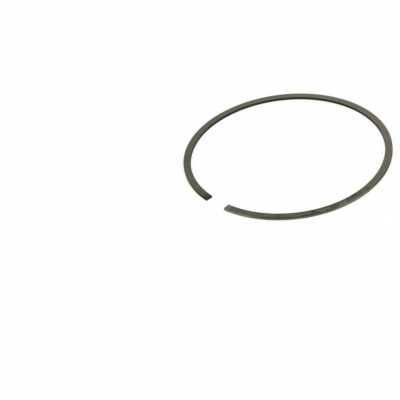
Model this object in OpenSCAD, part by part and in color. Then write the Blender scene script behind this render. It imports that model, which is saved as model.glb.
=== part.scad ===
// Piston compression ring, lying free: one split piece with square-cut ends and a barrel-shaped
// running face. Its free outline is the one that presses evenly all round the bore once the ring
// is closed: flatter across the back, rounder towards the two ends. It is drawn as three tangent
// arcs, turned from one section: a half turn across the back, and one arc from there to each end.

/* [Ring] */
// Diameter of the cylinder bore that the ring is made for
bore_d = 86; // [60:0.5:120]
// Radial wall, from the inner face to the running face
radial_wall = 3.15; // [2:0.05:4.5]
// Axial height, from the lower side face to the upper one
axial_height = 1.25; // [0.8:0.05:3]

/* [Gap] */
// Opening between the ends at mid wall, with the ring unloaded
free_gap = 10.2; // [3:0.1:16]
// Opening that is left between the ends once the ring is closed in its bore
fitted_gap = 0.3; // [0.1:0.05:0.8]

/* [Section] */
// Crown of the running face over its own upper and lower edge
barrel_crown = 0.015; // [0.005:0.005:0.05]
// Bevel on both edges of the running face
outer_bevel = 0.05; // [0.03:0.01:0.3]
// Bevel on both edges of the inner face
inner_bevel = 0.2; // [0.05:0.01:0.35]

/* [Top mark] */
// Diameter of each pip that marks the upper side face
pip_d = 0.8; // [0.4:0.1:1.4]
// Depth of each pip
pip_depth = 0.1; // [0.05:0.01:0.2]
// Number of pips in the row
pip_count = 2; // [1:1:3]
// Distance between neighbouring pips along the ring
pip_pitch = 1.6; // [1.5:0.1:3]
// Distance along the ring from its end to the first pip
pip_from_end = 6.3; // [3:0.1:20]

/* [Hidden] */
$fn = 180;

// The back arc is a half turn from +X over +Y to -X, so the gap faces -Y
half_turn = 180;
rad_to_deg = 180 / PI;

// Middle of the wall when the ring is closed in its bore, and half its length, which bending keeps
closed_r = (bore_d - radial_wall) / 2;
half_length = PI * closed_r - fitted_gap / 2;

// Closing the ring bends it by a moment that goes with 1 + cos(angle from the back). These are its
// means over the back half and over the front half. The spring factor k says how much curvature
// such a moment adds, so a free arc lacks that share of the bore's curvature.
back_bend = 1 + 2 / PI;
front_bend = 1 - 2 / PI;
function free_r(bend, k) = closed_r / (1 - k * bend);
function end_turn(back, front) = (half_length - back * PI / 2) / front * rad_to_deg;
function gap_between(back, front) = 2 * (back - front + front * cos(end_turn(back, front)));

// The spring factor starts from the formula for a small gap, and settles to within a thousandth of
// a millimetre of the free gap that is asked for
micron = 0.001;
function gap_for(k) = gap_between(free_r(back_bend, k), free_r(front_bend, k));
function settled(k) = abs(gap_for(k) - free_gap) < micron ? k : settled(k * free_gap / gap_for(k));
spring_factor = settled(free_gap / (3 * PI * closed_r));

// Radii of the middle of the wall, to the nearest thousandth of a millimetre
function to_micron(length) = round(length / micron) * micron;
back_r = to_micron(free_r(back_bend, spring_factor));
front_r = to_micron(free_r(front_bend, spring_factor));
front_turn = end_turn(back_r, front_r);

// The arcs meet on the X axis and share a tangent there, so the centres lie apart along it
front_centre = [front_r - back_r, 0];

// Middle of the wall on the -X side, at a distance along the ring from its end
function point_from_end(distance) = let (heading = half_turn + front_turn - distance / front_r * rad_to_deg)
    front_centre + front_r * [cos(heading), sin(heading)];

// Reach of the free ring along Y, from its back to the outer corners of its ends
back_y = back_r + radial_wall / 2;
end_y = point_from_end(0).y - radial_wall / 2 * sin(front_turn);
centre_y = (back_y + end_y) / 2;

// The barrel is an arc through the crown and both edges of the running face
face_h = axial_height - 2 * outer_bevel;
barrel_r = (pow(face_h / 2, 2) + pow(barrel_crown, 2)) / (2 * barrel_crown);

// Each pip is the cap of a sphere
pip_r = (pow(pip_d / 2, 2) + pow(pip_depth, 2)) / (2 * pip_depth);

// Section of the ring, with the middle of its wall at x = 0 and its lower side face at y = 0
module section() {
    outer_x = radial_wall / 2;
    inner_x = -outer_x;
    intersection() {
        polygon([
            [inner_x + inner_bevel, 0],
            [outer_x - outer_bevel, 0],
            [outer_x, outer_bevel],
            [outer_x, axial_height - outer_bevel],
            [outer_x - outer_bevel, axial_height],
            [inner_x + inner_bevel, axial_height],
            [inner_x, axial_height - inner_bevel],
            [inner_x, inner_bevel]
        ]);
        translate([outer_x - barrel_r, axial_height / 2]) circle(r = barrel_r);
    }
}

// The section, turned from +X about +Z
module turned(radius, turn) {
    rotate_extrude(angle = turn)
        translate([radius, 0]) section();
}

module back_arc() {
    turned(back_r, half_turn);
}

// The arc from the -X side to its end
module front_arc() {
    translate(front_centre)
        rotate([0, 0, half_turn])
            turned(front_r, front_turn);
}

// Row of pips that says which side face goes up
module top_mark() {
    for (n = [0 : pip_count - 1])
        translate([0, 0, axial_height + pip_r - pip_depth])
            translate(point_from_end(pip_from_end + n * pip_pitch))
                sphere(r = pip_r);
}

module compression_ring() {
    color([0.40, 0.39, 0.32])
        translate([0, -centre_y, 0])
            difference() {
                union() {
                    back_arc();
                    front_arc();
                    mirror([1, 0, 0]) front_arc();
                }
                top_mark();
            }
}

compression_ring();
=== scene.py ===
# %% [markdown]
# # A piston compression ring
# This lesson dresses one small machine part: the top ring of a car piston, lying free on a table.
# The part was first drawn as an exact solid, and that solid is the frame of this scene. We load it,
# and build a finer ring in the same place, in metres.

# %% Load the solid model
import math

import bmesh
import bpy
import numpy as np
from mathutils import Matrix, Vector


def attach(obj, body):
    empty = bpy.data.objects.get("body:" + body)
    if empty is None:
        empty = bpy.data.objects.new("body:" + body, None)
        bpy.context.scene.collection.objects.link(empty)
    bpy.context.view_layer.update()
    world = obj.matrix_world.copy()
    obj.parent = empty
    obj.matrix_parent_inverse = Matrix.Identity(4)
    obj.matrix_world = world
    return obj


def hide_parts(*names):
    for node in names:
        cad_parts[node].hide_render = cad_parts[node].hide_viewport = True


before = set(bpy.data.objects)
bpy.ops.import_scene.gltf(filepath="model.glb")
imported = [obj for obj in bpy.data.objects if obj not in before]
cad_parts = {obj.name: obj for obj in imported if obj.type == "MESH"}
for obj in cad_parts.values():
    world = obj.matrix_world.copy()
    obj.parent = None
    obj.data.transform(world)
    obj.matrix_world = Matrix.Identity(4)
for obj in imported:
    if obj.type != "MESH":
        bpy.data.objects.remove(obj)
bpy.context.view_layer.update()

MM = 0.001


# %% [markdown]
# ## The sizes of the ring
# A ring that presses evenly on its bore isn't a circle when it lies free. It is flatter across the
# back and rounder towards its two ends. It could be drawn through many points, but three arcs that share
# their tangents come within a tenth of a millimetre of that outline, and an arc is easy to sweep. One is
# a half turn across the back, and the others run from there to the two ends. The length of the ring is
# fixed by the bore it closes into, so the arc to an end takes what the half turn leaves over.

# %% Sizes, in metres
MICRON = MM / 1000
WALL, HEIGHT = 3.15 * MM, 1.25 * MM
BORE, FITTED_GAP = 86 * MM, 0.3 * MM

# Radii of the middle of the wall, as the solid has them
BACK_R, FRONT_R = 43.265 * MM, 41.82 * MM

half_length = math.pi * (BORE - WALL) / 2 - FITTED_GAP / 2
back_length = BACK_R * math.pi
front_length = half_length - back_length / 2
front_turn = front_length / FRONT_R

# The ring's own outline is centred on the origin, so the arcs' centres lie a little in front of it
back_reach = BACK_R + WALL / 2
end_reach = -(FRONT_R + WALL / 2) * math.sin(front_turn)
centre_y = -(back_reach + end_reach) / 2
back_centre = Vector((0, centre_y, 0))
left_centre = Vector((FRONT_R - BACK_R, centre_y, 0))
right_centre = Vector((BACK_R - FRONT_R, centre_y, 0))

print(f"ring wire {2 * half_length / MM:.1f} mm long, "
      f"each end {math.degrees(front_turn):.2f} degrees past the half turn")

# %% [markdown]
# ## The camera
# The camera comes early, because every later choice is judged through it. It is a long lens, looks
# down at the ring at about 37 degrees, and is rolled a little. The ring isn't in the middle of the
# picture. A lens shift could put it there, but would stay on in every other view, so the camera is
# aimed past the ring instead.

# %% Camera
# The picture, the focal length and the ring's place are in pixels, the sensor is in millimetres
PICTURE, FOCAL, RING_AT = 400, 1747.97, (288.36, 154.68)
SENSOR = 36.0
DISTANCE, NEAREST, FARTHEST = 0.745, 0.01, 20
AZIMUTH, ELEVATION, ROLL = math.radians(51.13), math.radians(37.08), math.radians(8.783)

turn_round = Matrix.Rotation(AZIMUTH, 3, "Z")
forward = turn_round @ Vector((0, math.cos(ELEVATION), -math.sin(ELEVATION)))
level = turn_round @ Vector((1, 0, 0))
right = Matrix.Rotation(ROLL, 3, forward) @ level
down = forward.cross(right)

aside = (RING_AT[0] - PICTURE / 2) / FOCAL * DISTANCE
below = (RING_AT[1] - PICTURE / 2) / FOCAL * DISTANCE
camera_at = -(forward * DISTANCE + right * aside + down * below)

camera = bpy.data.objects.new("camera", bpy.data.cameras.new("camera"))
bpy.context.scene.collection.objects.link(camera)
camera.data.sensor_width = SENSOR
camera.data.lens = FOCAL * SENSOR / PICTURE
camera.data.clip_start, camera.data.clip_end = NEAREST, FARTHEST
camera.matrix_world = Matrix.Translation(camera_at) @ Matrix((right, -down, -forward)).transposed().to_4x4()
bpy.context.scene.camera = camera
print("camera at", [round(x, 4) for x in camera_at], "lens", round(camera.data.lens, 1), "mm")

# %% [markdown]
# ## The section of the ring wire
# Rings like this are rolled as flat wire and then coiled. So we draw the wire's section first: a plane
# of the wall by the height, with its outer corners cut by 0.05 mm and its inner ones by 0.2 mm. The eight
# corners could be typed in as numbers, but two bevels say more plainly what is done to the wire. Points
# are picked by their place, as one would click them.

# %% Draw the section
OUTER_BEVEL, INNER_BEVEL = 0.05 * MM, 0.2 * MM
ORIGIN = (0, 0, 0)


def select_points(mesh, chosen):
    """In edit mode, selects just the points whose place passes the test, and says how many."""
    points = bmesh.from_edit_mesh(mesh)
    points.select_mode = {"VERT"}
    for point in points.verts:
        point.select_set(chosen(point.co))
    points.select_flush_mode()
    bmesh.update_edit_mesh(mesh)
    return sum(point.select for point in points.verts)


bpy.ops.object.select_all(action="DESELECT")
bpy.ops.mesh.primitive_plane_add(size=1, location=ORIGIN)
ring = bpy.context.object
ring.name = ring.data.name = "ring"
bpy.ops.object.mode_set(mode="EDIT")
bpy.ops.mesh.select_mode(type="VERT")
bpy.ops.transform.resize(value=(WALL, HEIGHT, 1), center_override=ORIGIN)

select_points(ring.data, lambda place: place.x > 0)
bpy.ops.mesh.bevel(offset=OUTER_BEVEL, offset_type="OFFSET", segments=1, affect="VERTICES")
select_points(ring.data, lambda place: place.x < 0)
bpy.ops.mesh.bevel(offset=INNER_BEVEL, offset_type="OFFSET", segments=1, affect="VERTICES")
print("section has", len(bmesh.from_edit_mesh(ring.data).verts), "corners")

# %% [markdown]
# ## Crown and soft corners
# The outer side of the section sweeps out the running face, which slides on the bore. It is slightly
# crowned, like a barrel, so it is cut into short edges and their points slide inwards. Then all eight
# corners are softened by a hair, because tumbling leaves none of them sharp, and a soft corner catches
# the light. A Bevel modifier could do that later, but here it is a matter of eight points.

# %% Crown the running face and soften the corners
CROWN, FACE_CUTS = 0.015 * MM, 5
SOFT_CORNER, SOFT_STEPS = 0.02 * MM, 2
CLOSE = 10 * MICRON

on_face = WALL / 2 - MICRON
face_half = HEIGHT / 2 - OUTER_BEVEL
barrel_r = (face_half ** 2 + CROWN ** 2) / (2 * CROWN)
select_points(ring.data, lambda place: place.x > on_face)
bpy.ops.mesh.subdivide(number_cuts=FACE_CUTS)
for step in range(FACE_CUTS + 2):
    height = face_half * (2 * step / (FACE_CUTS + 1) - 1)
    drop = barrel_r - math.sqrt(barrel_r ** 2 - height ** 2)
    if select_points(ring.data, lambda place: place.x > on_face and abs(place.y - height) < CLOSE):
        bpy.ops.transform.translate(value=(-drop, 0, 0))

corner_from = HEIGHT / 2 - INNER_BEVEL - CLOSE
select_points(ring.data, lambda place: abs(place.y) > corner_from)
bpy.ops.mesh.bevel(offset=SOFT_CORNER, offset_type="OFFSET", segments=SOFT_STEPS, affect="VERTICES")
print("section has", len(bmesh.from_edit_mesh(ring.data).verts), "points")

# %% [markdown]
# ## Coil the wire
# A coiling machine feeds the wire past rollers, and each setting of the rollers gives one radius. A curve
# with this section as its profile would look the same, but the Spin operator works as the machine does:
# it sweeps the section round a centre. We stand the section up, carry it to the ring's right end, and spin
# it three times. After each spin the last section stays selected, so the next spin goes on from there,
# round its own centre. Here a positive angle turns clockwise.

# %% Stand the section at the right end and spin it
STEPS_PER_TURN = 960

bpy.ops.mesh.select_all(action="SELECT")
bpy.ops.transform.rotate(value=-math.pi / 2, orient_axis="X", center_override=ORIGIN)
bpy.ops.transform.translate(value=(BACK_R, centre_y, HEIGHT / 2))
bpy.ops.transform.rotate(value=front_turn, orient_axis="Z", center_override=right_centre)
for centre, turn in ((right_centre, front_turn), (back_centre, math.pi), (left_centre, front_turn)):
    steps = round(STEPS_PER_TURN * turn / (2 * math.pi))
    bpy.ops.mesh.spin(steps=steps, angle=-turn, center=centre, axis=(0, 0, 1))
bpy.ops.mesh.select_all(action="SELECT")
bpy.ops.mesh.normals_make_consistent(inside=False)
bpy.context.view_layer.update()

# %% [markdown]
# ## Break the corners of the ends
# The ends are cut square and then deburred, so their outlines aren't razor sharp. A Bevel modifier would
# go round every edge of the ring, and only these need it. The two end faces are the only ones with many
# corners, which makes them easy to find, and their outlines get a very small bevel.

# %% Deburr the two ends
END_BREAK, BREAK_STEPS = 0.04 * MM, 2

bpy.ops.mesh.select_mode(type="FACE")
faces = bmesh.from_edit_mesh(ring.data)
for face in faces.faces:
    face.select_set(len(face.verts) > 4)
bmesh.update_edit_mesh(ring.data)
bpy.ops.mesh.region_to_loop()
bpy.ops.mesh.bevel(offset=END_BREAK, offset_type="OFFSET", segments=BREAK_STEPS, affect="EDGES")
bpy.ops.object.mode_set(mode="OBJECT")
print("ring has", len(ring.data.polygons), "faces")

# %% [markdown]
# ## Punch the top mark
# Two shallow pips near the left end say which side faces the piston's crown. Bump in the material could
# hint at them, but a real cut holds up close by. A punch with a round nose makes them, so each is cut
# with a sphere that dips a tenth of a millimetre into the upper side face. A Boolean modifier does that,
# and it is applied so that the ring is one finished mesh. The cut can leave points that all but touch, so
# these are merged.

# %% Cut two pips
PIP_D, PIP_DEPTH = 0.8 * MM, 0.1 * MM
PIP_R = ((PIP_D / 2) ** 2 + PIP_DEPTH ** 2) / (2 * PIP_DEPTH)
PIPS_FROM_END = (6.3 * MM, 7.9 * MM)
PUNCH_STEPS = 64


def point_from_left_end(distance):
    """Where the middle of the wall is, at a distance along the wire from the left end."""
    heading = math.pi + front_turn - distance / FRONT_R
    return left_centre + FRONT_R * Vector((math.cos(heading), math.sin(heading), 0))


for distance in PIPS_FROM_END:
    nose_at = point_from_left_end(distance) + Vector((0, 0, HEIGHT + PIP_R - PIP_DEPTH))
    bpy.ops.object.select_all(action="DESELECT")
    bpy.ops.mesh.primitive_uv_sphere_add(
        segments=PUNCH_STEPS, ring_count=PUNCH_STEPS, radius=PIP_R, location=nose_at)
    punch = bpy.context.object
    bpy.context.view_layer.objects.active = ring
    cut = ring.modifiers.new("pip", "BOOLEAN")
    cut.operation, cut.solver, cut.object = "DIFFERENCE", "EXACT", punch
    bpy.ops.object.modifier_apply(modifier=cut.name)
    bpy.data.objects.remove(punch)

bpy.ops.object.mode_set(mode="EDIT")
bpy.ops.mesh.select_all(action="SELECT")
bpy.ops.mesh.remove_doubles(threshold=MICRON)
bpy.ops.mesh.dissolve_degenerate(threshold=MICRON)
bpy.ops.object.mode_set(mode="OBJECT")
print("with pips:", len(ring.data.polygons), "faces")

# %% [markdown]
# ## A map along the wire
# Grinding lines, lapping lines and stains on a ring follow the wire, not the room. A UV map could carry
# them round the bend, but it has two numbers for a point, and we want three: how far along the wire from
# the left end, how far out from the middle of the wall, and how high. So each point stores its place on
# the wire as an attribute, in millimetres, and all lengths in the finishes are in millimetres too.

# %% Store the place on the wire
places = np.empty(len(ring.data.vertices) * 3)
ring.data.vertices.foreach_get("co", places)
places = places.reshape(-1, 3)
x, y = places[:, 0], places[:, 1] - centre_y


def arc(centre_x, radius, start):
    """Turn past the start direction, clockwise, and distance outside the arc, about one centre."""
    turned = (start - np.arctan2(y, x - centre_x)) % (2 * np.pi)
    return turned, np.hypot(x - centre_x, y) - radius


back_turn, back_out = arc(0, BACK_R, math.pi)
left_turn, left_out = arc(left_centre.x, FRONT_R, math.pi + front_turn)
right_turn, right_out = arc(right_centre.x, FRONT_R, 0)
left_turn = np.where(left_turn > np.pi, left_turn - 2 * np.pi, left_turn)
at_back, at_left = y >= 0, x < 0
along = np.where(at_back, front_length + BACK_R * back_turn,
                 np.where(at_left, FRONT_R * left_turn, front_length + back_length + FRONT_R * right_turn))
out = np.where(at_back, back_out, np.where(at_left, left_out, right_out))

wire = ring.data.attributes.new("wire", "FLOAT_VECTOR", "POINT")
wire.data.foreach_set("vector", (np.column_stack([along, out, places[:, 2]]) / MM).ravel())
print(f"wire map: along {along.min() / MM:.2f} to {along.max() / MM:.2f} mm, "
      f"out {out.min() / MM:.3f} to {out.max() / MM:.3f} mm")

# %% [markdown]
# ## Helpers for the finishes
# Colours are written as sRGB hex values, as a colour picker shows them, but a shader works in linear
# light, so one function converts them. Another adds a node, with its settings and what goes into it,
# and gives back the output that the next node needs. A third starts a finish. Nodes could be wired by
# hand as well, but in code each scale can be worked out from a length in millimetres.

# %% Colour and node helpers
ALL = slice(None)

# A Mix node has sockets for numbers and for colours under the same names, so they go by their place
MIX, VALUE_A, VALUE_B, COLOUR_A, COLOUR_B = 0, 2, 3, 6, 7
COLOURS = {"data_type": "RGBA", "take": 2}

# Noise runs from 0 to 1, but seldom leaves the first of these ranges, and a mix of two noises the second
NOISE_LOW, NOISE_MIDDLE, NOISE_HIGH = 0.3, 0.5, 0.7
MIXED_LOW, MIXED_HIGH = 0.35, 0.65


def paint(hex_colour):
    """An sRGB hex value as a linear colour."""
    channels = [int(hex_colour[i:i + 2], 16) / 255 for i in (1, 3, 5)]
    return [c / 12.92 if c <= 0.04045 else ((c + 0.055) / 1.055) ** 2.4 for c in channels] + [1]


def add(tree, kind, inputs, take=0, **settings):
    """Adds a node and returns an output of it. Each input takes a value, or another node's output."""
    made = tree.nodes.new(kind)
    for name, value in settings.items():
        setattr(made, name, value)
    for name, value in inputs.items():
        if isinstance(value, bpy.types.NodeSocket):
            tree.links.new(value, made.inputs[name])
        else:
            made.inputs[name].default_value = value
    return made.outputs[take]


def start_finish(name, metallic):
    """A new finish: its material, its node tree, its shader, and the place on the wire."""
    made = bpy.data.materials.new(name)
    made.use_nodes = True
    tree = made.node_tree
    shader = tree.nodes["Principled BSDF"]
    shader.inputs["Metallic"].default_value = metallic
    return made, tree, shader, add(tree, "ShaderNodeAttribute", {}, take="Vector", attribute_name="wire")


print("mid grey, #808080, in linear light:", round(paint("#808080")[0], 3))

# %% [markdown]
# ## Side faces: ground, nitrided steel
# The two flat sides are ground, and then hardened in a nitrogen gas, which leaves a matte grey-olive
# skin on the metal. One flat colour would look like plastic, so the tone is built up in layers, each
# mixed over the one before. The first layer is the skin with soft clouds of tone, with painted light
# that makes it a little paler towards the back, and with patches that lean to brown or to green.

# %% Tone of the skin
CLOUD, CLOUD_SHARE, TINT_PATCH = 12.0, 0.3, 4.0
# Painted light: along this way the skin is painted darker at the front and paler at the back
PAINTED_LIGHT_SIDE, PAINTED_LIGHT_FROM, PAINTED_LIGHT_TO = (0.1, 1.0, 0.0), -44 * MM, 44 * MM
DEEP_SKIN, PALE_SKIN = "#5B5848", "#76725F"
BROWN_TINT, GREEN_TINT = "#FFF6EF", "#F3FFEF"

side_skin, tree, shader, on_wire = start_finish("ground_nitrided_steel", 0.8)
along_at, out_at, up_at = add(tree, "ShaderNodeSeparateXYZ", {"Vector": on_wire}, take=ALL)
clouds = add(tree, "ShaderNodeTexNoise", {"Vector": on_wire, "Scale": 1 / CLOUD, "Detail": 3.0})
clouds = add(tree, "ShaderNodeMapRange", {"Value": clouds, "From Min": NOISE_LOW, "From Max": NOISE_HIGH})
in_part = add(tree, "ShaderNodeTexCoord", {}, take="Object")
# Painted light: paler towards the back, mixed with the clouds of tone
painted_light_and_clouds = add(tree, "ShaderNodeVectorMath", {0: in_part, 1: PAINTED_LIGHT_SIDE}, take="Value", operation="DOT_PRODUCT")
painted_light_and_clouds = add(tree, "ShaderNodeMapRange", {"Value": painted_light_and_clouds, "From Min": PAINTED_LIGHT_FROM, "From Max": PAINTED_LIGHT_TO})
painted_light_and_clouds = add(tree, "ShaderNodeMix", {MIX: CLOUD_SHARE, VALUE_A: painted_light_and_clouds, VALUE_B: clouds})
tone = add(tree, "ShaderNodeMix", {
    MIX: painted_light_and_clouds, COLOUR_A: paint(DEEP_SKIN), COLOUR_B: paint(PALE_SKIN)}, **COLOURS)

patches = add(tree, "ShaderNodeTexNoise", {"Vector": on_wire, "Scale": 1 / TINT_PATCH, "Detail": 2.0})
for tint, full_at in ((BROWN_TINT, NOISE_HIGH), (GREEN_TINT, NOISE_LOW)):
    share = add(tree, "ShaderNodeMapRange", {
        "Value": patches, "From Min": NOISE_MIDDLE, "From Max": full_at})
    tone = add(tree, "ShaderNodeMix", {
        MIX: share, COLOUR_A: tone, COLOUR_B: paint(tint)}, blend_type="MULTIPLY", **COLOURS)
print(side_skin.name, "tone:", len(tree.nodes), "nodes")

# %% [markdown]
# ## Right flank and back
# The skin isn't quite the same all round: the right flank leans to grey-brown. Across the back, a painted
# highlight makes the outer half of the face a little paler. A broader noise could give such changes, but
# not where they are wanted, so each has a mask that rises and falls between four places along the wire.

# %% Tone of the flank and the back
STRETCHES = {
    # starts, is full, fades, ends
    "flank": (156.0, 162.0, 188.0, 192.0),
    "back": (112.0, 118.0, 156.0, 162.0),
}
FLANK_TINT, PAINTED_RIM_HIGHLIGHT = "#FFFAFF", "#7F7C69"
RIM_SHARE, RIM_FROM, RIM_TO = 0.35, -0.2, 1.4

masks = {}
for name, (starts, full, fades, ends) in STRETCHES.items():
    rises = add(tree, "ShaderNodeMapRange", {"Value": along_at, "From Min": starts, "From Max": full})
    masks[name] = add(tree, "ShaderNodeMapRange", {
        "Value": along_at, "From Min": ends, "From Max": fades, "To Max": rises})

tone = add(tree, "ShaderNodeMix", {
    MIX: masks["flank"], COLOUR_A: tone, COLOUR_B: paint(FLANK_TINT)}, blend_type="MULTIPLY", **COLOURS)
# Painted highlight: across the back, the outer half of the face is painted paler
rim = add(tree, "ShaderNodeMath", {0: masks["back"], 1: RIM_SHARE}, operation="MULTIPLY")
rim = add(tree, "ShaderNodeMapRange", {
    "Value": out_at, "From Min": RIM_FROM, "From Max": RIM_TO, "To Max": rim})
tone = add(tree, "ShaderNodeMix", {MIX: rim, COLOUR_A: tone, COLOUR_B: paint(PAINTED_RIM_HIGHLIGHT)}, **COLOURS)
print(side_skin.name, "with", " and ".join(masks), "toned:", len(tree.nodes), "nodes")

# %% [markdown]
# ## Grinding streaks
# The grinding wheel leaves streaks along the wire. A picture of brushed metal would repeat, so they are
# noise on the wire map, long and squeezed across. They are faint on the clean part of the skin and a
# little darker on the right front, where hands and oil have worked dirt into them.
# Real grinding lines are finer than the picture can show, so the streaks are drawn 0.35 mm wide. A second
# set of 0.06 mm, nearer to the real ones, is there for a closer look.

# %% Streaks along the wire
HANDLED_FROM, HANDLED_TO = 190.0, 200.0
CLEAN_STREAK, DIRTY_STREAK, FINE_DEPTH = 0.25, 0.32, 0.3
STREAK_DIRT = "#403D2E"

handled = add(tree, "ShaderNodeMapRange", {
    "Value": along_at, "From Min": HANDLED_FROM, "From Max": HANDLED_TO}, interpolation_type="SMOOTHSTEP")
streak_depth = add(tree, "ShaderNodeMapRange", {
    "Value": handled, "To Min": CLEAN_STREAK, "To Max": DIRTY_STREAK})
GROUND_LINES = {
    # length, width, detail, noise where a line starts, noise where it is full, depth
    "streaks": (22.0, 0.35, 3.0, 0.52, 0.36, streak_depth),
    "fine": (7.0, 0.06, 2.0, 0.55, 0.35, FINE_DEPTH),
}

ground = {}
for name, (length, width, detail, starts_at, full_at, depth) in GROUND_LINES.items():
    squeezed = add(tree, "ShaderNodeMapping", {
        "Vector": on_wire, "Scale": (1 / length, 1 / width, 1 / width)})
    ground[name] = add(tree, "ShaderNodeTexNoise", {"Vector": squeezed, "Scale": 1.0, "Detail": detail})
    share = add(tree, "ShaderNodeMapRange", {
        "Value": ground[name], "From Min": starts_at, "From Max": full_at, "To Max": depth})
    tone = add(tree, "ShaderNodeMix", {
        MIX: share, COLOUR_A: tone, COLOUR_B: paint(STREAK_DIRT)}, **COLOURS)
print(side_skin.name, "with", len(ground), "sets of lines:", len(tree.nodes), "nodes")

# %% [markdown]
# ## Worn edge
# Where the outer edge of the face rubs in its groove, the skin is worn to paler metal. A plain stripe
# would look painted on, so the clouds of the first layer say where the wear is strong.

# %% Wear along the outer edge
WEAR_FROM, WEAR_TO = 1.39, 1.49
WORN_MOST, NO_WEAR_AT, ALL_WORN_AT = 0.35, 0.4, 0.8
WORN_METAL = "#8C8A76"

worn = add(tree, "ShaderNodeMapRange", {
    "Value": clouds, "From Min": NO_WEAR_AT, "From Max": ALL_WORN_AT, "To Max": WORN_MOST})
share = add(tree, "ShaderNodeMapRange", {
    "Value": out_at, "From Min": WEAR_FROM, "From Max": WEAR_TO, "To Max": worn})
tone = add(tree, "ShaderNodeMix", {
    MIX: share, COLOUR_A: tone, COLOUR_B: paint(WORN_METAL)}, **COLOURS)
print(side_skin.name, "with worn edge:", len(tree.nodes), "nodes")

# %% [markdown]
# ## Stains
# Oil has dried on the handled side in brown and dark olive drops. Noise could scatter them, but chance
# seldom puts a stain where the eye wants it, so they are placed one by one. Each is an ellipse on the
# wire, one noise pulls its outline about, and a finer one makes it thin in places. The ellipse is also
# shallow, so a stain on the upper face doesn't show through on the lower one. Two long, thin ones along
# the outer edge of the right front aren't oil but a painted shadow.

# %% Stains on the upper face
RAGGED, RAGGED_BY, BLOT, SKIN_DEEP = 1.8, 1.5, 0.5, 0.4
BLOT_LOW, BLOT_HIGH, THINNED, THICKENED = 0.35, 0.6, 0.6, 1.1
DROP_RIM, DROP_HEART = 1.3, 0.5
OLD_OIL_AND_SHADOW, BURNT_OIL, RUST, OCHRE = "#33301F", "#45372F", "#5C3626", "#5A4E2C"
STAINS_AND_SHADOW = (
    # along, out, length, width, share, colour
    (6.2, 0.1, 1.0, 0.9, 0.5, BURNT_OIL),
    (196.0, 1.0, 3.2, 1.5, 0.75, OLD_OIL_AND_SHADOW),
    (200.6, 0.6, 3.0, 3.2, 0.55, OCHRE),
    (200.6, 1.3, 3.4, 1.6, 0.4, OLD_OIL_AND_SHADOW),
    (199.9, -0.6, 1.2, 1.1, 0.7, OCHRE),
    (202.9, -0.8, 3.6, 2.0, 0.9, OLD_OIL_AND_SHADOW),
    (203.5, 0.4, 3.0, 1.4, 0.5, OLD_OIL_AND_SHADOW),
    (206.0, 0.0, 2.2, 3.4, 0.62, BURNT_OIL),
    (214.0, -1.1, 22.0, 0.8, 0.5, OLD_OIL_AND_SHADOW),
    (213.0, 0.2, 3.8, 4.0, 0.62, BURNT_OIL),
    (213.2, 0.3, 1.4, 1.3, 0.4, RUST),
    (215.9, 1.2, 3.0, 1.0, 0.5, OLD_OIL_AND_SHADOW),
    (220.5, 1.0, 2.6, 1.7, 0.7, OLD_OIL_AND_SHADOW),
    (222.1, 0.1, 2.2, 3.8, 0.85, OLD_OIL_AND_SHADOW),
    (224.8, 1.3, 5.0, 0.7, 0.95, OLD_OIL_AND_SHADOW),
    # The next two aren't oil: they are a painted shadow, a dark line along the outer edge
    (231.0, 1.4, 30.0, 0.6, 0.75, OLD_OIL_AND_SHADOW),
    (235.0, 1.4, 18.0, 0.7, 0.7, OLD_OIL_AND_SHADOW),
    (236.0, -0.7, 3.6, 0.8, 0.9, OLD_OIL_AND_SHADOW),
    (236.5, 0.6, 3.0, 1.1, 0.5, OLD_OIL_AND_SHADOW),
    (244.0, -0.2, 3.0, 2.4, 0.35, OLD_OIL_AND_SHADOW),
)

tug = add(tree, "ShaderNodeTexNoise", {"Vector": on_wire, "Scale": 1 / RAGGED, "Detail": 5.0}, take="Color")
tug = add(tree, "ShaderNodeVectorMath", {0: tug, 1: [NOISE_MIDDLE] * 3}, operation="SUBTRACT")
tug = add(tree, "ShaderNodeVectorMath", {0: tug, 1: (RAGGED_BY, RAGGED_BY, 0)}, operation="MULTIPLY")
ragged = add(tree, "ShaderNodeVectorMath", {0: on_wire, 1: tug}, operation="ADD")
blots = add(tree, "ShaderNodeTexNoise", {"Vector": on_wire, "Scale": 1 / BLOT, "Detail": 4.0})
for middle_along, middle_out, length, width, share, colour in STAINS_AND_SHADOW:
    middle, size = (middle_along, middle_out, HEIGHT / MM), (length / 2, width / 2, SKIN_DEEP)
    in_drop = add(tree, "ShaderNodeMapping", {
        "Vector": ragged,
        "Scale": [1 / r for r in size],
        "Location": [-m / r for m, r in zip(middle, size)]})
    reach = add(tree, "ShaderNodeVectorMath", {0: in_drop}, take="Value", operation="LENGTH")
    most = add(tree, "ShaderNodeMapRange", {
        "Value": blots, "From Min": BLOT_LOW, "From Max": BLOT_HIGH,
        "To Min": THINNED * share, "To Max": THICKENED * share})
    drop = add(tree, "ShaderNodeMapRange", {
        "Value": reach, "From Min": DROP_RIM, "From Max": DROP_HEART, "To Max": most},
        interpolation_type="SMOOTHSTEP")
    tone = add(tree, "ShaderNodeMix", {
        MIX: drop, COLOUR_A: tone, COLOUR_B: paint(colour)}, **COLOURS)
print(len(STAINS_AND_SHADOW), "stains,", len(tree.nodes), "nodes")

# %% [markdown]
# ## Dirt along the inner edge
# Dirt from the piston groove has gathered along the inner edge of the handled side, in a dark grey line.
# It needs no stains of its own: the distance out from the middle of the wall says where the edge is, and
# the mask of the handled stretch, which the streaks have used already, says where the line begins.

# %% Dirt on the handled side
INNER_DIRT, DIRT_FROM, DIRT_TO = 0.9, -0.9, -1.2
GROOVE_DIRT = "#383632"

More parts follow.
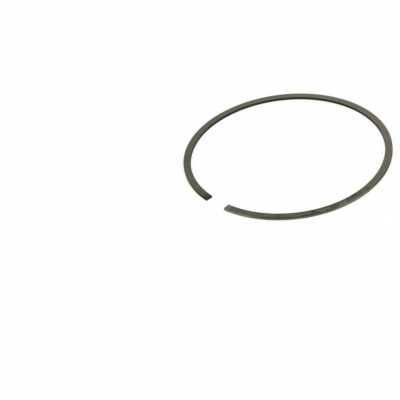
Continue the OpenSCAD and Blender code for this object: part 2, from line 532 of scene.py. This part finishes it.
dirt = add(tree, "ShaderNodeMath", {0: handled, 1: INNER_DIRT}, operation="MULTIPLY")
dirt = add(tree, "ShaderNodeMapRange", {
    "Value": out_at, "From Min": DIRT_FROM, "From Max": DIRT_TO, "To Max": dirt})
tone = add(tree, "ShaderNodeMix", {
    MIX: dirt, COLOUR_A: tone, COLOUR_B: paint(GROOVE_DIRT)}, **COLOURS)
print(side_skin.name, "with dirt:", len(tree.nodes), "nodes")

# %% [markdown]
# ## Ends and pips
# Near the left end the side faces darken: almost black right at the cut, then straw-coloured for a few
# millimetres. The right end was dressed afterwards and is plain grey.
# A colour ramp could hold all these tones, but as layers each can fade at its own pace.
# The pips are painted with shade: the deeper a point lies below the face, the darker it is.

# %% Tone of the ends and the pips, and the colour's way into the shader
wire_length = 2 * half_length / MM
END_TONES = (
    # clean from, full at, share, colour
    (10.0, 3.0, 0.5, "#534E37"),
    (4.4, 0.6, 0.9, "#35312B"),
    (wire_length - 16.0, wire_length - 6.0, 0.2, "#4B4837"),
    (wire_length - 3.2, wire_length - 1.4, 0.8, "#747270"),
)
PIP_RIM, PIP_FLOOR, PIP_SHADE_MOST = 0.005, 0.08, 0.8
PIP_SHADE = "#3C3B38"

for clean_from, full_at, most, colour in END_TONES:
    share = add(tree, "ShaderNodeMapRange", {
        "Value": along_at, "From Min": clean_from, "From Max": full_at, "To Max": most},
        interpolation_type="SMOOTHSTEP")
    tone = add(tree, "ShaderNodeMix", {
        MIX: share, COLOUR_A: tone, COLOUR_B: paint(colour)}, **COLOURS)

half_up = HEIGHT / MM / 2
# Painted shade in the pips: the deeper a point lies below the face, the darker
sunk = add(tree, "ShaderNodeMath", {0: up_at, 1: half_up}, operation="SUBTRACT")
sunk = add(tree, "ShaderNodeMath", {0: sunk}, operation="ABSOLUTE")
sunk = add(tree, "ShaderNodeMapRange", {
    "Value": sunk, "From Min": half_up - PIP_RIM, "From Max": half_up - PIP_FLOOR, "To Max": PIP_SHADE_MOST})
tone = add(tree, "ShaderNodeMix", {
    MIX: sunk, COLOUR_A: tone, COLOUR_B: paint(PIP_SHADE)}, **COLOURS)
tree.links.new(tone, shader.inputs["Base Color"])
print(side_skin.name, "colour:", len(tree.nodes), "nodes")

# %% [markdown]
# ## Relief of the side faces
# Colour alone leaves a surface flat under a moving light. The broad streaks make it a little smoother or
# rougher, and the fine lines and a grit raise it by a few thousandths of a millimetre. That is far too
# little to model, so it is bump. The grit of a grinding wheel is about 0.03 mm, and it is drawn at
# 0.12 mm so that it shows.

# %% Roughness and bump of the side faces
GRIT, GRIT_SHARE, SIDE_RELIEF = 0.12, 0.5, 0.004 * MM
SIDE_ROUGH, SIDE_SMOOTH = 0.62, 0.5

grit = add(tree, "ShaderNodeTexNoise", {"Vector": on_wire, "Scale": 1 / GRIT, "Detail": 2.0})
rough = add(tree, "ShaderNodeMapRange", {
    "Value": ground["streaks"], "From Min": NOISE_LOW, "From Max": NOISE_HIGH,
    "To Min": SIDE_ROUGH, "To Max": SIDE_SMOOTH})
tree.links.new(rough, shader.inputs["Roughness"])
relief = add(tree, "ShaderNodeMix", {MIX: GRIT_SHARE, VALUE_A: ground["fine"], VALUE_B: grit})
bump = add(tree, "ShaderNodeBump", {"Height": relief, "Strength": 0.5, "Distance": SIDE_RELIEF})
tree.links.new(bump, shader.inputs["Normal"])
print(side_skin.name, "finished:", len(tree.nodes), "nodes")

# %% [markdown]
# ## Running face: lapped steel
# The outside of the ring slides on the bore. Because the face is a barrel, lapping it in takes the dark
# skin off the middle first and leaves a thin dark border above and below. It could be two finishes with a
# cut between them, but a mask lets the border waver. The mask is 1 where metal is bare: a band at mid
# height with a wavy edge, widest on two stretches of the right front that carry a painted highlight.

# %% Mask of the bare band
BAND_MIDDLE, BAND_HALF, BAND_FADE = 0.54, 0.42, 0.1
BAND_WAVE, BAND_WAVE_BY = 9.0, 0.24
# Two stretches of painted highlight, where the band is painted wider and the metal brighter
HIGHLIGHT_FADE, HIGHLIGHT_WIDER = 9.0, 0.4
PAINTED_HIGHLIGHTS = (
    # middle, half the length
    (203.5, 4.0),
    (253.5, 2.5),
)

lapped, tree, shader, on_wire = start_finish("lapped_steel", 1.0)
along_at, _, up_at = add(tree, "ShaderNodeSeparateXYZ", {"Vector": on_wire}, take=ALL)
painted_highlight = 0.0
for middle, half in PAINTED_HIGHLIGHTS:
    away = add(tree, "ShaderNodeMath", {0: along_at, 1: middle}, operation="SUBTRACT")
    away = add(tree, "ShaderNodeMath", {0: away}, operation="ABSOLUTE")
    near = add(tree, "ShaderNodeMapRange", {
        "Value": away, "From Min": half + HIGHLIGHT_FADE, "From Max": half}, interpolation_type="SMOOTHSTEP")
    painted_highlight = add(tree, "ShaderNodeMath", {0: painted_highlight, 1: near}, operation="MAXIMUM")

only_along = add(tree, "ShaderNodeMapping", {"Vector": on_wire, "Scale": (1, 0, 0)})
wave = add(tree, "ShaderNodeTexNoise", {"Vector": only_along, "Scale": 1 / BAND_WAVE, "Detail": 4.0})
wave = add(tree, "ShaderNodeMapRange", {"Value": wave, "To Min": -BAND_WAVE_BY, "To Max": BAND_WAVE_BY})
wave = add(tree, "ShaderNodeMath", {0: painted_highlight, 1: -HIGHLIGHT_WIDER, 2: wave}, operation="MULTIPLY_ADD")
off_band = add(tree, "ShaderNodeMath", {0: up_at, 1: BAND_MIDDLE}, operation="SUBTRACT")
off_band = add(tree, "ShaderNodeMath", {0: off_band}, operation="ABSOLUTE")
off_band = add(tree, "ShaderNodeMath", {0: off_band, 1: wave}, operation="ADD")
band = add(tree, "ShaderNodeMapRange", {
    "Value": off_band, "From Min": BAND_HALF + BAND_FADE, "From Max": BAND_HALF - BAND_FADE},
    interpolation_type="SMOOTHSTEP")
print(lapped.name, "band:", len(tree.nodes), "nodes")

# %% [markdown]
# ## Running face: painted reflection along the wire
# Along the wire the bare band comes and goes as a painted reflection, and where it is gone, the dark skin
# is painted shade. On the right front the band shows throughout, and on the right flank, just before that,
# it is gone. Round the rest it comes and goes, but not close to the left end. One slow noise makes the
# patches, and ramps along the wire hold them back where there are none.

# %% Stretches of painted reflection
# Painted reflection and shade: slow patches where the band shows, none near the left end or on the right
# flank
PATCH, PATCH_LOW, PATCH_HIGH = 14.0, 0.42, 0.6
PATCHES_FROM, PATCHES_FULL, PATCHES_FADE, PATCHES_TO = 5.0, 12.0, 160.0, 168.0
# Painted reflection: from here on, over the right front, the band shows throughout
REFLECTION_FROM, REFLECTION_FULL = 181.0, 192.0

patches = add(tree, "ShaderNodeTexNoise", {"Vector": only_along, "Scale": 1 / PATCH, "Detail": 2.0})
patches = add(tree, "ShaderNodeMapRange", {"Value": patches, "From Min": PATCH_LOW, "From Max": PATCH_HIGH})
for none_at, all_at in ((PATCHES_FROM, PATCHES_FULL), (PATCHES_TO, PATCHES_FADE)):
    patches = add(tree, "ShaderNodeMapRange", {
        "Value": along_at, "From Min": none_at, "From Max": all_at, "To Max": patches})
painted_reflection = add(tree, "ShaderNodeMapRange", {
    "Value": along_at, "From Min": REFLECTION_FROM, "From Max": REFLECTION_FULL}, interpolation_type="SMOOTHSTEP")
painted_reflection = add(tree, "ShaderNodeMath", {0: painted_reflection, 1: patches}, operation="MAXIMUM")
# The lapped band, shown only where the painted reflection lets it
bare_and_painted_reflection = add(tree, "ShaderNodeMath", {0: band, 1: painted_reflection}, operation="MULTIPLY")
print(lapped.name, "mask:", len(tree.nodes), "nodes")

# %% [markdown]
# ## Running face: metal and skin
# Bare metal is greenish grey, with fine lines along the wire and blotches of thin oil, and brightest on
# the two stretches of painted highlight. Around it lies the dark olive skin, painted black near the left
# end as painted shade. Lapping also polishes, so bare metal is smoother than skin. One shader does for
# both, because the mask can mix their colours and their roughness.
# The lines of a lapping compound are about 0.02 mm apart, and they are drawn at 0.09 mm.

# %% Colour and relief of the running face
LAP_LENGTH, LAP_WIDTH, LAP_RELIEF = 30.0, 0.09, 0.003 * MM
LINES_BY, BLOTCH, BLOTCH_BY, HIGHLIGHT_BRIGHTER = 0.4, 1.6, 0.8, 0.6
# Painted shade: the skin of the running face is painted black towards the left end
LEFT_SHADE_FROM, LEFT_SHADE_TO, LEFT_SHADE_SHARE = 11.0, 7.0, 0.9
DULL_METAL, BRIGHT_METAL, OLIVE_SKIN, SHADED_SKIN = "#676957", "#7E7F6A", "#383A2A", "#15140E"
SKIN_ROUGH, METAL_ROUGH = 0.55, 0.32

lines = add(tree, "ShaderNodeMapping", {"Vector": on_wire, "Scale": (1 / LAP_LENGTH, 0, 1 / LAP_WIDTH)})
lines = add(tree, "ShaderNodeTexNoise", {"Vector": lines, "Scale": 1.0, "Detail": 3.0})
blotches = add(tree, "ShaderNodeTexNoise", {"Vector": on_wire, "Scale": 1 / BLOTCH, "Detail": 3.0})
bright = 0.0
for noise, by in ((lines, LINES_BY), (blotches, BLOTCH_BY)):
    change = add(tree, "ShaderNodeMapRange", {
        "Value": noise, "From Min": NOISE_LOW, "From Max": NOISE_HIGH, "To Min": -by / 2, "To Max": by / 2})
    bright = add(tree, "ShaderNodeMath", {0: bright, 1: change}, operation="ADD")
# The painted highlight makes the metal brighter on its two stretches
bright = add(tree, "ShaderNodeMath", {
    0: painted_highlight, 1: HIGHLIGHT_BRIGHTER, 2: bright}, operation="MULTIPLY_ADD", use_clamp=True)
metal = add(tree, "ShaderNodeMix", {
    MIX: bright, COLOUR_A: paint(DULL_METAL), COLOUR_B: paint(BRIGHT_METAL)}, **COLOURS)
left_shade = add(tree, "ShaderNodeMapRange", {
    "Value": along_at, "From Min": LEFT_SHADE_FROM, "From Max": LEFT_SHADE_TO, "To Max": LEFT_SHADE_SHARE})
skin = add(tree, "ShaderNodeMix", {
    MIX: left_shade, COLOUR_A: paint(OLIVE_SKIN), COLOUR_B: paint(SHADED_SKIN)}, **COLOURS)
tone = add(tree, "ShaderNodeMix", {MIX: bare_and_painted_reflection, COLOUR_A: skin, COLOUR_B: metal}, **COLOURS)
tree.links.new(tone, shader.inputs["Base Color"])
rough = add(tree, "ShaderNodeMapRange", {"Value": bare_and_painted_reflection, "To Min": SKIN_ROUGH, "To Max": METAL_ROUGH})
tree.links.new(rough, shader.inputs["Roughness"])
bump = add(tree, "ShaderNodeBump", {"Height": lines, "Strength": 0.4, "Distance": LAP_RELIEF})
tree.links.new(bump, shader.inputs["Normal"])
print(lapped.name, "finished:", len(tree.nodes), "nodes")

# %% [markdown]
# ## Inner face: dark skin on drawn wire
# The inner face is never ground. It keeps the lines of the die through which the wire was drawn, under
# a rough, dark grey skin. Plain noise would look cast, so one noise is stretched along the wire, and a
# fine speck roughens it. Die lines of about 0.05 mm are drawn at 0.15 mm.

# %% Finish for the inner face
DIE_LENGTH, DIE_WIDTH, SPECK, SPECK_SHARE = 25.0, 0.15, 0.25, 0.5
DIE_RELIEF, DIE_ROUGH, DIE_SMOOTH = 0.008 * MM, 0.75, 0.45
DEEP_SCALE, PALE_SCALE = "#282822", "#3B3B33"

dark_skin, tree, shader, on_wire = start_finish("dark_nitride_skin", 1.0)
drawn = add(tree, "ShaderNodeMapping", {
    "Vector": on_wire, "Scale": (1 / DIE_LENGTH, 1 / DIE_WIDTH, 1 / DIE_WIDTH)})
drawn = add(tree, "ShaderNodeTexNoise", {"Vector": drawn, "Scale": 1.0, "Detail": 3.0})
speck = add(tree, "ShaderNodeTexNoise", {"Vector": on_wire, "Scale": 1 / SPECK, "Detail": 4.0})
uneven = add(tree, "ShaderNodeMix", {MIX: SPECK_SHARE, VALUE_A: drawn, VALUE_B: speck})
share = add(tree, "ShaderNodeMapRange", {"Value": uneven, "From Min": MIXED_LOW, "From Max": MIXED_HIGH})
tone = add(tree, "ShaderNodeMix", {
    MIX: share, COLOUR_A: paint(DEEP_SCALE), COLOUR_B: paint(PALE_SCALE)}, **COLOURS)
tree.links.new(tone, shader.inputs["Base Color"])
rough = add(tree, "ShaderNodeMapRange", {"Value": uneven, "To Min": DIE_ROUGH, "To Max": DIE_SMOOTH})
tree.links.new(rough, shader.inputs["Roughness"])
bump = add(tree, "ShaderNodeBump", {"Height": uneven, "Strength": 0.5, "Distance": DIE_RELIEF})
tree.links.new(bump, shader.inputs["Normal"])
print(dark_skin.name, "has", len(tree.nodes), "nodes")

# %% [markdown]
# ## Cut ends: ground and darkened
# A thin wheel parts the wire and grinds both ends to the right gap, so fine lines run up and down each
# end. Heat and oil have turned them a dark grey. The finish of the sides would run its lines the wrong
# way here, so the ends have their own. Wheel lines of about 0.03 mm are drawn at 0.1 mm.

# %% Finish for the two ends
WHEEL_WIDTH, WHEEL_LENGTH, BURN, BURN_SHARE = 0.1, 3.0, 0.8, 0.5
WHEEL_RELIEF, WHEEL_ROUGH, WHEEL_SMOOTH = 0.005 * MM, 0.6, 0.4
DEEP_END, PALE_END = "#232220", "#3E3C37"

cut_end, tree, shader, on_wire = start_finish("ground_steel_end", 0.9)
lines = add(tree, "ShaderNodeMapping", {"Vector": on_wire, "Scale": (0, 1 / WHEEL_WIDTH, 1 / WHEEL_LENGTH)})
lines = add(tree, "ShaderNodeTexNoise", {"Vector": lines, "Scale": 1.0, "Detail": 2.0})
burn = add(tree, "ShaderNodeTexNoise", {"Vector": on_wire, "Scale": 1 / BURN, "Detail": 2.0})
share = add(tree, "ShaderNodeMix", {MIX: BURN_SHARE, VALUE_A: lines, VALUE_B: burn})
share = add(tree, "ShaderNodeMapRange", {"Value": share, "From Min": MIXED_LOW, "From Max": MIXED_HIGH})
tone = add(tree, "ShaderNodeMix", {
    MIX: share, COLOUR_A: paint(DEEP_END), COLOUR_B: paint(PALE_END)}, **COLOURS)
tree.links.new(tone, shader.inputs["Base Color"])
rough = add(tree, "ShaderNodeMapRange", {"Value": lines, "To Min": WHEEL_ROUGH, "To Max": WHEEL_SMOOTH})
tree.links.new(rough, shader.inputs["Roughness"])
bump = add(tree, "ShaderNodeBump", {"Height": lines, "Strength": 0.4, "Distance": WHEEL_RELIEF})
tree.links.new(bump, shader.inputs["Normal"])
print(cut_end.name, "has", len(tree.nodes), "nodes")

# %% [markdown]
# ## Give each face its finish
# Each face is sorted by the way it looks: up or down is a side, along the wire is an end, outwards is
# the running face with its bevels, and what is left keeps the dark skin. Faces could be picked by hand,
# but there are thousands, and their normals tell them apart. The arcs' centres lie so close together
# that one of them serves for the whole ring. Only corners sharper than ten degrees stay sharp, so the
# long faces shade as one.

# %% Sort the faces
SIDE, RUNNING, DARK, END = 0, 1, 2, 3
SIDE_OVER, END_OVER, RUNNING_OVER = 0.85, 0.35, 0.3
SHARP = math.radians(10)

for finish in (side_skin, lapped, dark_skin, cut_end):
    ring.data.materials.append(finish)

count = len(ring.data.polygons)
normals, middles = np.empty(count * 3), np.empty(count * 3)
ring.data.polygons.foreach_get("normal", normals)
ring.data.polygons.foreach_get("center", middles)
normals, middles = normals.reshape(-1, 3), middles.reshape(-1, 3)
outwards = middles - np.array(back_centre)
outwards[:, 2] = 0
outwards /= np.linalg.norm(outwards, axis=1)[:, None]
facing_up = np.abs(normals[:, 2])
facing_out = (normals * outwards).sum(axis=1)
facing_along = np.abs(normals[:, 1] * outwards[:, 0] - normals[:, 0] * outwards[:, 1])
kinds = np.select(
    [facing_up > SIDE_OVER, facing_along > END_OVER, facing_out > RUNNING_OVER], [SIDE, END, RUNNING], DARK)
ring.data.polygons.foreach_set("material_index", kinds.astype(np.int32))

bpy.ops.object.select_all(action="DESELECT")
ring.select_set(True)
bpy.context.view_layer.objects.active = ring
bpy.ops.object.shade_smooth_by_angle(angle=SHARP)
print("faces of each kind:", dict(zip(("side", "running", "dark", "end"), np.bincount(kinds).tolist())))

# %% [markdown]
# ## Floor
# The ring lies on a plain pale table. A camera would show such a table a little grey, but the picture
# wants it white. More light would bleach the ring too. So, for rays that come from the camera or from a
# shiny surface, most of the floor glows white by itself and the rest still takes light, which keeps the
# ring's soft shadow. Other rays see a plain matte floor, so the ring gets no extra light from below.

# %% Floor
FLOOR_SIZE, FLOOR_GLOW = 6, 0.85
TABLE_TOP, WHITE = "#FAFAF8", "#FFFFFF"


def ray_is_seen(tree):
    """1 for rays from the camera, from a shiny surface or through glass, and 0 for all others."""
    rays = {output.name: output for output in add(tree, "ShaderNodeLightPath", {}, take=ALL)}
    seen = add(tree, "ShaderNodeMath", {
        0: rays["Is Camera Ray"], 1: rays["Is Glossy Ray"]}, operation="MAXIMUM")
    return add(tree, "ShaderNodeMath", {0: seen, 1: rays["Is Transmission Ray"]}, operation="MAXIMUM")


bpy.ops.object.select_all(action="DESELECT")
bpy.ops.mesh.primitive_plane_add(size=FLOOR_SIZE, location=ORIGIN)
floor = bpy.context.object
floor.name = "floor"
table = bpy.data.materials.new("pale_table")
table.use_nodes = True
tree = table.node_tree
tree.nodes.clear()
glow_share = add(tree, "ShaderNodeMath", {0: ray_is_seen(tree), 1: FLOOR_GLOW}, operation="MULTIPLY")
matte = add(tree, "ShaderNodeBsdfDiffuse", {"Color": paint(TABLE_TOP)})
glow = add(tree, "ShaderNodeEmission", {"Color": paint(WHITE), "Strength": 1.0})
surface = add(tree, "ShaderNodeMixShader", {0: glow_share, 1: matte, 2: glow})
tree.links.new(surface, tree.nodes.new("ShaderNodeOutputMaterial").inputs["Surface"])
floor.data.materials.append(table)
print("floor of", [round(side, 2) for side in floor.dimensions[:2]], "m")

# %% [markdown]
# ## World and lamps
# A white room all round gives the soft, even light of a product picture. Lamps alone would put hard spots
# on the metal, so the two large ones are kept weak: they only give the shadow a side. Their level is such
# that a colour renders about as it is written. The Standard view transform leaves the colours alone.

# %% World and lamps
ROOM_LIGHT = 0.8
LAMPS = {
    # place, size, power
    "key": ((0.35, 0.35, 0.5), 0.5, 1.2),
    "fill": ((-0.6, -0.4, 0.9), 1.0, 1.0),
}

world = bpy.data.worlds.new("white_room")
bpy.context.scene.world = world
world.use_nodes = True
tree = world.node_tree
tree.nodes.clear()
strength = add(tree, "ShaderNodeMapRange", {
    "Value": ray_is_seen(tree), "To Min": ROOM_LIGHT, "To Max": 1.0})
sky = add(tree, "ShaderNodeBackground", {"Color": paint(WHITE), "Strength": strength})
tree.links.new(sky, tree.nodes.new("ShaderNodeOutputWorld").inputs["Surface"])

for name, (at, size, power) in LAMPS.items():
    lamp = bpy.data.objects.new(name, bpy.data.lights.new(name, "AREA"))
    bpy.context.scene.collection.objects.link(lamp)
    lamp.data.size, lamp.data.energy = size, power
    lamp.location = at
    lamp.rotation_euler = (-Vector(at)).to_track_quat("-Z", "Y").to_euler()
    print(name, "lamp of", power, "W,", round(Vector(at).length, 2), "m from the ring")

bpy.context.scene.view_settings.view_transform = "Standard"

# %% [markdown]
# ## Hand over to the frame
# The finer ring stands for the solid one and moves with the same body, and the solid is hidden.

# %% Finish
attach(ring, "root")
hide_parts("compression_ring")
